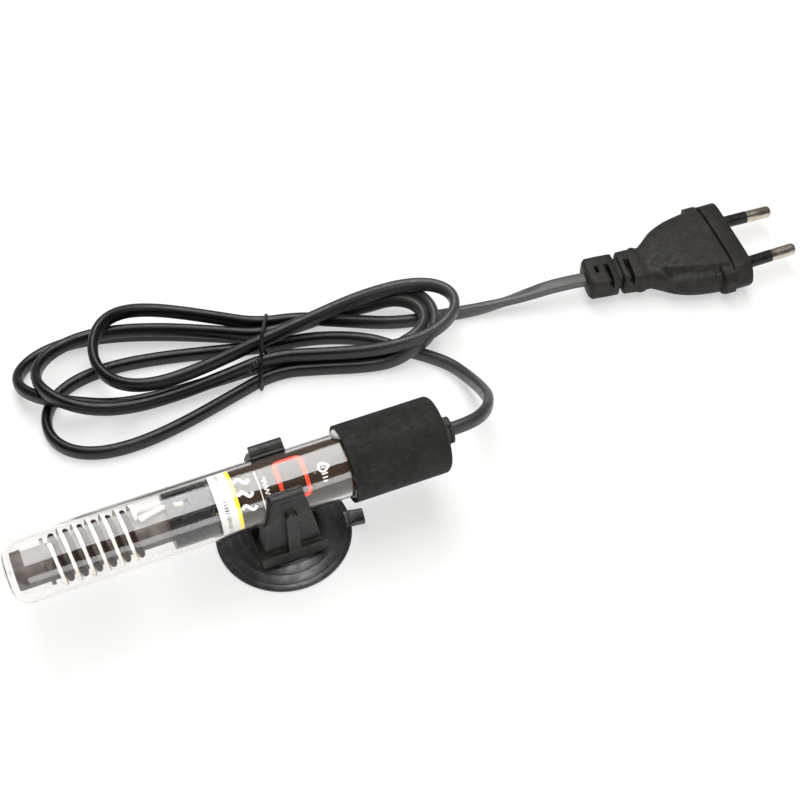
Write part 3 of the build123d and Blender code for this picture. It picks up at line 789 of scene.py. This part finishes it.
FLANGE_STATIONS = [
    (-6.6, 14.2, 5.6, 6),
    (-6.05, 14.2, 5.6, 6),
    (-6.0, 16.9, 6.3, 12),
    (-5.7, 17.4, 6.75, 12),
    (-0.6, 17.5, 6.85, 12),
    (-0.25, 17.35, 6.7, 12),
    (FACE_U, 17.0, 6.4, 12),
]
FLANGE_BACK = -6.02
FLANGE_CORNER = 19.7  # the flange's corners are cut where width and height add up to this
NO_CORNER = 1000.0
RELIEF_SLOTS = [  # middle of each slot, half width, and the side-to-side stretch that it takes
    (-47.4, 0.55, (-1.5, 1.4)),
    (-43.9, 0.75, (-9.0, 1.6)),
    (-37.2, 0.85, (-9.0, 1.8)),
]
SLOT_SHARE = 0.3  # how much of the height a slot leaves
SLOT_SIDE_CUT = 0.55  # and how much of its cut is made from the sides too
SLOT_WALL = 0.06  # half the length over which a slot's wall drops
EAR_BACK, EAR_FRONT = -9.8, -6.01  # the flange reaches back along the grip's sides as two ears
EAR_HALF_WIDTH = 17.3
EAR_HALF_HEIGHT = 4.6
SCOOP_BACK, SCOOP_FRONT = -29.0, -6.6
SCOOP_FADE = (-28.5, -24.0)
SCOOP_DEPTH = 2.1
SCOOP_LEVEL = 3.0  # the scoop fades out below this height
PANEL_BACK, PANEL_FRONT = -28.0, -7.0
PANEL_EDGE = 4.0  # how far the raised panel's edge is from the middle line at its back
PANEL_EDGE_GROWTH = 7.6  # and how much farther it is at its front
BEND_FROM, BEND_TO = -29.0, -35.0  # the strain relief's bend, behind the face
BEND_TURN = math.radians(6.0)


def plug_frame():
    """The plug's own frame: pins along its first axis, side to side along its second."""
    left, right = PIN_MOUNTS["pin_left"], PIN_MOUNTS["pin_right"]
    across = (left - right).normalized()
    up = Vector((0, 0, 1))
    ahead = across.cross(up)
    frame_matrix = Matrix((ahead, across, up)).transposed().to_4x4()
    frame_matrix.translation = (left + right) / 2
    return frame_matrix


def smooth_between(stations, u):
    """Half width, half height and squareness at a distance, on a smooth line through the stations."""
    index = 0
    while index < len(stations) - 2 and stations[index + 1][0] < u:
        index += 1
    first = stations[max(index - 1, 0)]
    start, end = stations[index], stations[index + 1]
    last = stations[min(index + 2, len(stations) - 1)]
    span = end[0] - start[0]
    share = (u - start[0]) / span
    values = []
    for k in (1, 2, 3):
        slope_in = (end[k] - first[k]) / (end[0] - first[0]) * span
        slope_out = (last[k] - start[k]) / (last[0] - start[0]) * span
        values.append(
            start[k] * (1 + 2 * share) * (1 - share) ** 2
            + slope_in * share * (1 - share) ** 2
            + end[k] * share * share * (3 - 2 * share)
            - slope_out * share * share * (1 - share)
        )
    return (u, *values)


def plug_section(half_width, half_height, squareness, corner=NO_CORNER):
    """A rounded rectangle, or a rounded octagon where the corners are cut."""
    points = []
    for angle in full_turn(PLUG_POINTS):
        v, w = half_width * math.cos(angle), half_height * math.sin(angle)
        parts = (abs(v) / half_width, abs(w) / half_height, (abs(v) + abs(w)) / corner)
        size = sum(part**squareness for part in parts) ** (1 / squareness)
        points.append((v / size, w / size))
    return points


def slot_share(u, v, w):
    """How much of the section is left where a slot of the strain relief crosses it."""
    for middle, half, (low, high) in RELIEF_SLOTS:
        if abs(u - middle) < half:
            turned = -1 if w < 0 else 1
            if low < v * turned < high or (low < -6.0 and v * turned < -4.0 and abs(w) < 1.2):
                return SLOT_SHARE
    return 1.0


def scoop_drop(u, v, w):
    """The finger scoop beside the grip's raised panel, on one side of each face."""
    if not SCOOP_BACK < u < SCOOP_FRONT:
        return 0.0
    turned = -1 if w < 0 else 1
    along = max((u - PANEL_BACK) / (PANEL_FRONT - PANEL_BACK), 0.0)
    edge = PANEL_EDGE + PANEL_EDGE_GROWTH * along**0.6
    beyond = smoothstep(-v * turned, edge - 0.1, edge + 0.9)
    return SCOOP_DEPTH * beyond * smoothstep(u, *SCOOP_FADE)


def ear_stretch(u, v, w):
    """How far a point of the grip's side is pushed out to lie on an ear."""
    if not EAR_BACK < u < EAR_FRONT:
        return 1.0
    across, high = max(abs(v), 0.01), max(abs(w), 0.01)
    reach = (EAR_HALF_WIDTH / across, EAR_HALF_HEIGHT / high, FLANGE_CORNER / (abs(v) + abs(w)))
    return max(min(reach), 1.0)


def bent_line(u):
    """The middle line's place and turn at a distance: straight in the grip, bent in the strain relief."""
    steps = 40
    turn = 0.0
    place = Vector((max(u, BEND_FROM), 0.0))
    run = min(u - BEND_FROM, 0.0) / steps
    for k in range(steps):
        turn = BEND_TURN * smoothstep(-(BEND_FROM + run * (k + 0.5)), -BEND_FROM, -BEND_TO)
        place += Vector((math.cos(turn), -math.sin(turn))) * run
    return place, turn


def plug_stations():
    """All the stations, close together where the section changes."""
    stations = list(RELIEF_STATIONS)
    for middle, half, _ in RELIEF_SLOTS:
        for end in (-half, half):
            for beside in (-SLOT_WALL, SLOT_WALL):
                u = middle + end + beside
                before = max((row for row in RELIEF_STATIONS if row[0] <= u), key=lambda row: row[0])
                after = min((row for row in RELIEF_STATIONS if row[0] > u), key=lambda row: row[0])
                share = (u - before[0]) / (after[0] - before[0])
                stations.append((u, *(a + (b - a) * share for a, b in zip(before[1:], after[1:]))))
    first, last = GRIP_STATIONS[0][0], GRIP_STATIONS[-1][0]
    steps = 50
    for k in range(steps + 1):
        stations.append(smooth_between(GRIP_STATIONS, first + (last - first) * k / steps))
    return sorted(stations) + FLANGE_STATIONS


def carved_section(u, half_width, half_height, squareness):
    """A station's section, with the slots, the finger scoop and the ears worked into it."""
    corner = FLANGE_CORNER if u > FLANGE_BACK else NO_CORNER
    section = []
    for v, w in plug_section(half_width, half_height, squareness, corner):
        share = slot_share(u, v, w)
        drop = scoop_drop(u, v, w) * min(abs(w) / SCOOP_LEVEL, 1.0)
        height = math.copysign(max(abs(w) - drop, 0.0), w)
        stretch = ear_stretch(u, v, height)
        section.append((v * (1 - (1 - share) * SLOT_SIDE_CUT) * stretch, height * share * stretch))
    return section


def plug_ring(place, u, section):
    """A section's points in the scene, at a distance along the bent middle line."""
    middle, turn = bent_line(u)
    ahead, side = math.sin(turn), math.cos(turn)
    ring = []
    for v, w in section:
        ring.append(place @ (Vector((middle.x + v * ahead, middle.y + v * side, w)) * MM))
    return ring


def make_plug():
    """The plug's moulding: a skin from the lead's end to the face, and into the insert's pocket."""
    place = plug_frame()
    rings = [plug_ring(place, u, carved_section(u, *shape)) for u, *shape in plug_stations()]
    deep, half_width, half_height = POCKET
    pocket = plug_section(half_width, half_height, POCKET_SQUARENESS)
    rings += [plug_ring(place, u, pocket) for u in (FACE_U, -deep)]
    plug = add_mesh("plug_moulding", *skinned(rings), "plug_pvc", "heater")
    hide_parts("plug_body")
    return plug


plug = make_plug()


# ---------------------------------------- suction cup
CUP_SEGMENTS = 144
# radius and height of the cup's outline, from the middle of its underside to the top of its head
CUP_OUTLINE = [
    (0.0, 2.4),
    (4.0, 2.35),
    (8.0, 2.0),
    (11.5, 1.35),
    (14.8, 0.6),
    (17.0, 0.1),
    (17.4, 0.0),
    (19.6, 0.0),
    (19.9, 0.12),
    (20.0, 0.4),
    (19.95, 0.75),
    (19.75, 0.95),
    (18.6, 1.36),
    (18.42, 1.42),
    (18.36, 1.6),
    (18.2, 1.72),
    (16.0, 2.42),
    (15.82, 2.46),
    (15.76, 2.66),
    (15.6, 2.78),
    (13.2, 3.52),
    (13.02, 3.56),
    (12.96, 3.76),
    (12.8, 3.88),
    (10.2, 4.68),
    (10.02, 4.72),
    (9.96, 4.9),
    (9.8, 5.0),
    (6.9, 5.68),
    (3.2, 5.7),
    (3.0, 5.9),
    (3.0, 10.8),
    (4.4, 10.8),
    (4.6, 11.0),
    (4.6, 12.1),
    (4.35, 12.7),
    (3.8, 13.05),
    (2.0, 13.1),
    (0.0, 13.1),
]
TAB_ANGLE = math.radians(-9.0)
TAB_HALF_THICKNESS = 0.95
TAB_MIDDLE_Z = 1.2
# distance from the cup's middle and half width of the pull tab
TAB_OUTLINE = [
    (17.0, 2.8),
    (19.0, 2.8),
    (20.0, 2.65),
    (21.4, 2.5),
    (22.6, 2.5),
    (23.5, 2.5),
    (23.85, 2.35),
    (24.0, 2.0),
]
TAB_POINTS = 32


def lathed(outline, segments):
    """A closed outline, drawn from axis to axis as radius and height, spun round Z."""
    rings = []
    for radius, height in outline[1:-1]:
        rings.append([Vector((a, b, height)) * MM for a, b in circle(radius, segments)])
    vertices, faces = skinned(rings, closed_ends=False)
    for end, row in ((outline[0], 0), (outline[-1], len(rings) - 1)):
        vertices.append(Vector((0, 0, end[1])) * MM)
        for k in range(segments):
            faces.append((row * segments + k, row * segments + (k + 1) % segments, len(vertices) - 1))
    return vertices, faces


def signed_power(value, power):
    return math.copysign(abs(value) ** power, value)


def pull_tab():
    """A flat, straight tab with a rounded tip, thin where it is rooted inside the cup's edge."""
    rings = []
    turn = Matrix.Rotation(TAB_ANGLE, 3, "Z")
    tip = TAB_OUTLINE[-1][0]
    for reach, half_width in TAB_OUTLINE:
        thinned = 0.75 if reach == tip else 0.35 + 0.65 * smoothstep(reach, 18.6, 20.4)
        ring = []
        for angle in full_turn(TAB_POINTS):
            across = signed_power(math.cos(angle), 0.35) * half_width
            height = signed_power(math.sin(angle), 0.5) * TAB_HALF_THICKNESS * thinned
            ring.append(turn @ Vector((reach, across, TAB_MIDDLE_Z + height)) * MM)
        rings.append(ring)
    return skinned(rings)


def make_cup():
    cup = add_mesh("cup_disc", *lathed(CUP_OUTLINE, CUP_SEGMENTS), "cup_rubber", "cup")
    tab = add_mesh("cup_tab", *pull_tab(), "cup_rubber", "cup")
    union = cup.modifiers.new("union", "BOOLEAN")
    union.operation = "UNION"
    union.object = tab
    bpy.context.view_layer.update()
    whole = bpy.data.meshes.new_from_object(cup.evaluated_get(bpy.context.evaluated_depsgraph_get()))
    cup.modifiers.clear()
    cup.data = whole
    shade_smooth(whole)
    bpy.data.objects.remove(tab)
    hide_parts("suction_cup")


make_cup()


# ---------------------------------------- sealant at the cap's mouth
SEAL_INNER = GLASS_RADIUS + 0.02
SEAL_OUTER = GLASS_RADIUS + 1.0
SEAL_FRONT_X = 19.6
SEAL_BACK_X = 21.3
SEAL_STEPS = 160
BLOB_MIDDLE = 58.0  # degrees round the tube
BLOB_FULL, BLOB_GONE = 6.0, 20.0  # degrees from its middle
BLOB_REACH = 1.9
BLOB_BULGE = 0.25
BLOB_SHOULDER_X = 19.3
BLOB_HEEL_X = 19.7


def make_seal():
    """A bead of sealant, hidden in the cap's mouth all round but for one blob that was squeezed out."""
    rings = []
    in_mouth = SEAL_OUTER - 0.02
    for k in range(SEAL_STEPS):
        degrees = 360.0 * k / SEAL_STEPS
        angle = math.radians(degrees)
        off_middle = abs((degrees - BLOB_MIDDLE + 180) % 360 - 180)
        squeezed = 1 - smoothstep(off_middle, BLOB_FULL, BLOB_GONE)
        ripple = 0.12 * math.sin(angle * 9) + 0.08 * math.sin(angle * 23 + 1)
        front = SEAL_FRONT_X - BLOB_REACH * squeezed + ripple
        shoulder, heel = front + 0.6, front + 0.8
        if squeezed:
            shoulder, heel = min(shoulder, BLOB_SHOULDER_X), BLOB_HEEL_X
        bulge = BLOB_BULGE * squeezed if front < SEAL_FRONT_X - 0.6 else 0.0
        section = [
            (SEAL_BACK_X, SEAL_INNER),
            (front + 0.1, SEAL_INNER),
            (front, (SEAL_INNER + SEAL_OUTER) / 2 - 0.15),
            (front + 0.15, SEAL_OUTER - 0.25),
            (shoulder, in_mouth + bulge),
            (heel, in_mouth),
            (SEAL_BACK_X, in_mouth),
        ]
        rings.append([round_tube(x, radius, degrees) for x, radius in section])
    seal = add_mesh("sealant_bead", *skinned(rings, looped=True), "clear_silicone", "heater")
    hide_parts("seal_ring")


make_seal()


# ---------------------------------------- heating element
COIL_FRONT_X = -64.6
COIL_BACK_X = -41.4
COIL_PITCH = 4.0
COIL_RADIUS = 6.35
SMALL_COIL_RADIUS = 0.68
SMALL_COIL_PITCH = 0.62
POINTS_PER_SMALL_TURN = 9
WIRE_RADIUS = 0.16
WIRE_SIDES = 5
HELIX_START_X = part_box("heating_wire")[0].x / MM
HELIX_START_ANGLE = math.pi / 2


def coil_angle(x):
    """The turn of the element's helix at a place along the tube, midway between the ceramic rib's turns."""
    return HELIX_START_ANGLE + 2 * math.pi * (x - HELIX_START_X) / COIL_PITCH


def make_heating_coil():
    """The resistance wire: a fine coil that is itself wound round the ceramic core."""
    turns = (COIL_BACK_X - COIL_FRONT_X) / COIL_PITCH
    length = turns * math.hypot(2 * math.pi * COIL_RADIUS, COIL_PITCH)
    small_turns = length / SMALL_COIL_PITCH
    count = int(small_turns * POINTS_PER_SMALL_TURN)
    line = []
    for k in range(count + 1):
        share = k / count
        x = COIL_FRONT_X + (COIL_BACK_X - COIL_FRONT_X) * share
        angle = coil_angle(x)
        small = 2 * math.pi * small_turns * share
        out = Vector((0, math.cos(angle), math.sin(angle)))
        radius = COIL_RADIUS + SMALL_COIL_RADIUS * math.cos(small)
        line.append((Vector((x + SMALL_COIL_RADIUS * math.sin(small), 0, AXIS_Z)) + out * radius) * MM)
    coil = add_mesh("heating_coil", *wire(line, WIRE_RADIUS * MM, WIRE_SIDES), "resistance_wire", "heater")
    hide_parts("heating_wire")


FIBRE_SEED = 4
SLEEVE_ANGLES = (90.0, 270.0)
SLEEVE_FROM_X, SLEEVE_TO_X = -40.2, -27.6
SLEEVE_STEPS = 39
SLEEVE_SIDES = 12
STRANDS_PER_SLEEVE = 9
STRAND_STEPS = 8
STRAND_RADIUS = 0.09
STRAND_SIDES = 5


def sleeve(draw, degrees):
    """A sleeve that wanders a little, lumpy all along and swollen where it leaves the winding."""
    centre = []
    radii = []
    for k in range(SLEEVE_STEPS + 1):
        share = k / SLEEVE_STEPS
        x = SLEEVE_FROM_X + (SLEEVE_TO_X - SLEEVE_FROM_X) * share
        wander = 5.0 * math.sin(5 * share + degrees)
        centre.append(round_tube(x, 6.75 - 0.5 * (1 - share), degrees + wander))
        radii.append((0.62 + 0.16 * draw.random() + 0.25 * (1 - share) ** 3) * MM)
    return wire(centre, lambda index: radii[index], SLEEVE_SIDES)


def loose_strand(draw, degrees):
    """One frayed fibre that lifts off the sleeve."""
    start = draw.uniform(-40.5, -36.0)
    swing = draw.uniform(-16.0, 16.0)
    lift = draw.uniform(-0.3, 0.75)
    length = draw.uniform(2.0, 4.5)
    line = []
    for k in range(STRAND_STEPS + 1):
        share = k / STRAND_STEPS
        radius = 6.4 + lift * math.sin(math.pi * share) + 0.3 * share
        line.append(round_tube(start + length * share, radius, degrees + swing * (share - 0.3)))
    return wire(line, STRAND_RADIUS * MM, STRAND_SIDES)


def make_fibre_sleeves():
    """Two frayed glass-fibre sleeves over the leads between the winding and the holder."""
    draw = random.Random(FIBRE_SEED)
    parts = []
    for degrees in SLEEVE_ANGLES:
        parts.append(sleeve(draw, degrees))
        parts += [loose_strand(draw, degrees) for _ in range(STRANDS_PER_SLEEVE)]
    sleeves = add_mesh("fibre_sleeves", *joined(*parts), "fibre_sleeving", "heater")
    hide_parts("heater_leads")


make_heating_coil()
make_fibre_sleeves()


# ---------------------------------------- printed marks
PRINT_INNER = FILM_RADIUS + 0.004
PRINT_OUTER = FILM_RADIUS + 0.016
DEGREES_PER_MM = 360.0 / (2 * math.pi * FILM_RADIUS)


def ribbon(points, half_width, closed=False):
    """The two edges of a stroke of even width along points, drawn flat as x and arc length."""
    flat = [Vector(point) for point in points]
    edges = []
    count = len(flat)
    for k, here in enumerate(flat):
        before = flat[k - 1] if k or closed else here
        after = flat[(k + 1) % count] if k < count - 1 or closed else here
        ahead = (after - before).normalized()
        sideways = Vector((-ahead.y, ahead.x)) * half_width
        edges.append((here - sideways, here + sideways))
    return edges


def print_mark(name, strokes, paint):
    """Strokes of thin ink on the film, each a list of points, a half width, and whether it is closed."""
    parts = []
    for points, half_width, closed in strokes:
        rings = []
        for low, high in ribbon(points, half_width, closed):
            ring = []
            for point, radii in ((low, (PRINT_INNER, PRINT_OUTER)), (high, (PRINT_OUTER, PRINT_INNER))):
                for radius in radii:
                    ring.append(round_tube(point.x, radius, point.y * DEGREES_PER_MM))
            rings.append(ring)
        parts.append(skinned(rings, looped=closed))
    add_mesh(name, *joined(*parts), None, "heater", paint)


def arc_mm(degrees):
    """The arc length on the film that spans an angle."""
    return degrees / DEGREES_PER_MM


def heat_waves():
    """Three upright wavy strokes, a plain sign for heat."""
    strokes = []
    for middle in (93.0, 119.0, 145.0):
        points = []
        for k in range(29):
            share = k / 28
            sway = 0.85 * math.sin(2 * math.pi * share)
            points.append((-8.7 - 4.1 * share, arc_mm(middle) + sway))
        strokes.append((points, 0.46, False))
    return strokes


def thin_rules():
    """A fine ruled line, and a fine wave beside it."""
    rule = [(-6.5, arc_mm(82.0 + 76.0 * k / 40)) for k in range(41)]
    wave = []
    for k in range(61):
        share = k / 60
        wave.append((-4.8 + 0.55 * math.sin(10 * math.pi * share), arc_mm(100.0 + 38.0 * share)))
    return [(rule, 0.14, False), (wave, 0.17, False)]


def rounded_frame():
    """The outline of a rounded square."""
    stroke = 1.05
    low_x, high_x = -1.3 + stroke / 2, 7.4 - stroke / 2
    low_s, high_s = arc_mm(75.0) + stroke / 2, arc_mm(159.0) - stroke / 2
    corner = 1.3
    points = []
    corners = ((high_x, high_s, 0), (low_x, high_s, 90), (low_x, low_s, 180), (high_x, low_s, 270))
    for x, s, start in corners:
        centre_x = x - math.copysign(corner, x - (low_x + high_x) / 2)
        centre_s = s - math.copysign(corner, s - (low_s + high_s) / 2)
        for k in range(9):
            angle = math.radians(start + 90 * k / 8)
            points.append((centre_x + corner * math.cos(angle), centre_s + corner * math.sin(angle)))
    dense = []
    for start, end in zip(points, points[1:] + points[:1]):
        gap = (Vector(end) - Vector(start)).length
        steps = max(int(gap / 0.5), 1)
        dense += [tuple(Vector(start).lerp(Vector(end), k / steps)) for k in range(steps)]
    return [(dense, stroke / 2, True)]


def drop_sign():
    """A plain water drop and three short dashes, beside a fine ruled line."""
    centre_x, centre_s = 11.9, arc_mm(116.0)
    drop = []
    for angle in full_turn(40):
        pointed = 1 + 0.55 * max(math.cos(angle), 0.0) ** 6
        drop.append((centre_x + 1.15 * pointed * math.cos(angle), centre_s + 1.15 * math.sin(angle)))
    strokes = [(drop, 0.3, True)]
    for k in range(3):
        low = arc_mm(128.0) + 1.0 * k
        strokes.append(([(11.1, low), (12.9 - 0.3 * k, low)], 0.2, False))
    strokes.append(([(9.4, arc_mm(100.0)), (9.4, arc_mm(122.0)), (9.4, arc_mm(144.0))], 0.16, False))
    return strokes


LABEL_SEED = 11


def label_dashes():
    """A row of small unreadable dashes round the white label."""
    draw = random.Random(LABEL_SEED)
    strokes = []
    here = arc_mm(46.0)
    end = arc_mm(188.0)
    while here < end:
        width = draw.uniform(0.25, 0.7)
        low, high = (-16.4, -17.5) if draw.random() < 0.7 else (-16.8, -17.5)
        strokes.append(([(low, here + width / 2), (high, here + width / 2)], width * 0.32, False))
        if draw.random() < 0.5:
            bar = draw.choice((-16.5, -17.0, -17.4))
            strokes.append(([(bar, here), (bar, here + width)], 0.1, False))
        here += width + draw.uniform(0.15, 0.45)
        if draw.random() < 0.15:
            here += 0.6
    return strokes


# painted light: the red ink glows faintly, so it stays deep red under the glass tube's reflection
INK_GLOW = {"Emission_Color": (1.0, 0.03, 0.0, 1), "Emission_Strength": 0.2}
printed_film("red_ink", (0.9, 0.035, 0.002), 0.5, grain=0.05, **INK_GLOW)
printed_film("grey_ink", (0.03, 0.028, 0.027), 0.5, grain=0.1)
print_mark("print_heat_waves", heat_waves(), "white_label")
print_mark("print_thin_rules", thin_rules(), "white_label")
print_mark("print_drop_sign", drop_sign(), "white_label")
print_mark("print_red_frame", rounded_frame(), "red_ink")
print_mark("print_label_dashes", label_dashes(), "grey_ink")


# ---------------------------------------- floor
FLOOR_SIZE = 12.0
FLOOR_DROP = 0.0002
FLOOR_GLOW = {"Emission_Color": (1, 0.99, 0.98, 1), "Emission_Strength": 0.56}


def make_floor():
    """A plain pale floor just under the cup's rim, with a glow that keeps it pale in the shade."""
    Look("floor", (0.42, 0.418, 0.416), 0.6, **FLOOR_GLOW)
    bpy.ops.mesh.primitive_plane_add(size=FLOOR_SIZE, location=(0, 0, -FLOOR_DROP))
    floor = bpy.context.object
    floor.name = "floor"
    floor.data.materials.append(MATERIALS["floor"])


make_floor()
